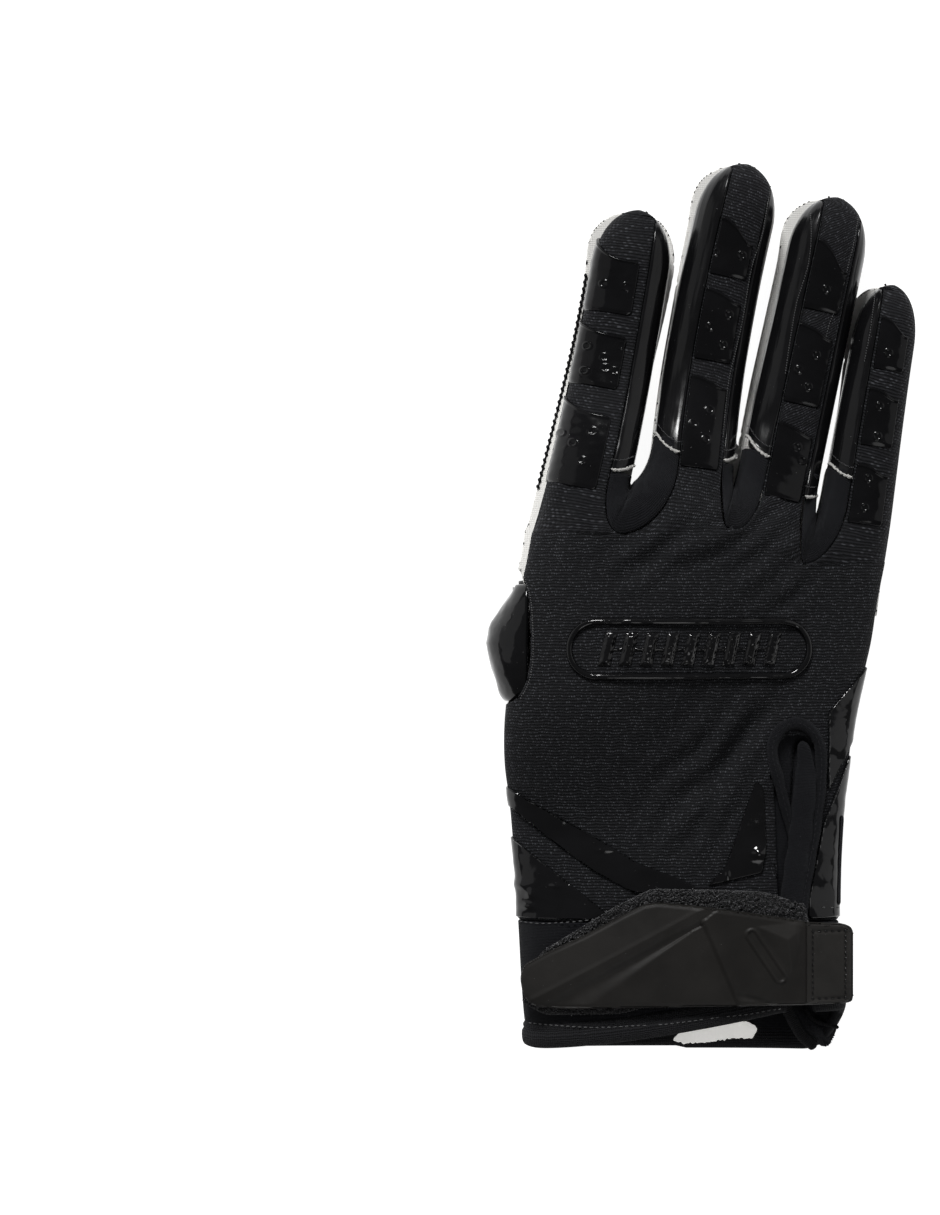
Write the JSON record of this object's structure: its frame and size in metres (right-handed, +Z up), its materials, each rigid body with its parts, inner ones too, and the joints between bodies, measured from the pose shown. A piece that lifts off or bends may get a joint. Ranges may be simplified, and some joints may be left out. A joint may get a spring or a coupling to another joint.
{
  "type": "football receiver glove",
  "caption": "Right-hand football receiver glove in black knit with glossy grip pads and a wrist strap, lying on its palm.",
  "frame": {"origin": "on the resting face of the palm, at the heel of the hand, under its centre line", "axes": "+Y to the fingertips, +Z up out of the back of the hand, +X to the little finger's side"},
  "size_m": [0.1147, 0.2365, 0.0306],
  "materials": {
    "knit": "matte",
    "jersey": "matte",
    "silicone": "glossy",
    "gel": "glossy",
    "lining": "matte",
    "rubber": "satin",
    "loop": "matte",
    "webbing": "matte",
    "label": "matte"
  },
  "bodies": {
    "root": {"back_panel": "knit", "palm_face": "silicone", "palm_lining": "lining", "thumb_sleeve": "silicone", "cuff": "jersey", "cuff_hem": "webbing", "vent_binding": "jersey", "vent_gusset": "jersey", "loop_pad": "loop", "strap": "rubber", "badge_rim": "silicone", "badge_bars": "silicone", "wrist_label": "label", "left_band": "silicone", "left_corner": "silicone", "right_band": "silicone", "right_wrap": "silicone", "right_corner": "silicone", "index_inner_side": "silicone", "middle_outer_side": "silicone", "middle_inner_side": "silicone", "ring_outer_side": "silicone", "ring_inner_side": "silicone", "little_outer_side": "silicone", "index_middle_gusset": "jersey", "middle_ring_gusset": "jersey", "ring_little_gusset": "jersey", "index_tip_pad": "gel", "index_middle_pad": "gel", "index_base_pad": "gel", "middle_tip_pad": "gel", "middle_middle_pad": "gel", "middle_base_pad": "gel", "ring_tip_pad": "gel", "ring_middle_pad": "gel", "ring_base_pad": "gel", "little_tip_pad": "gel", "little_middle_pad": "gel", "little_base_pad": "gel"}
  },
  "joints": []
}
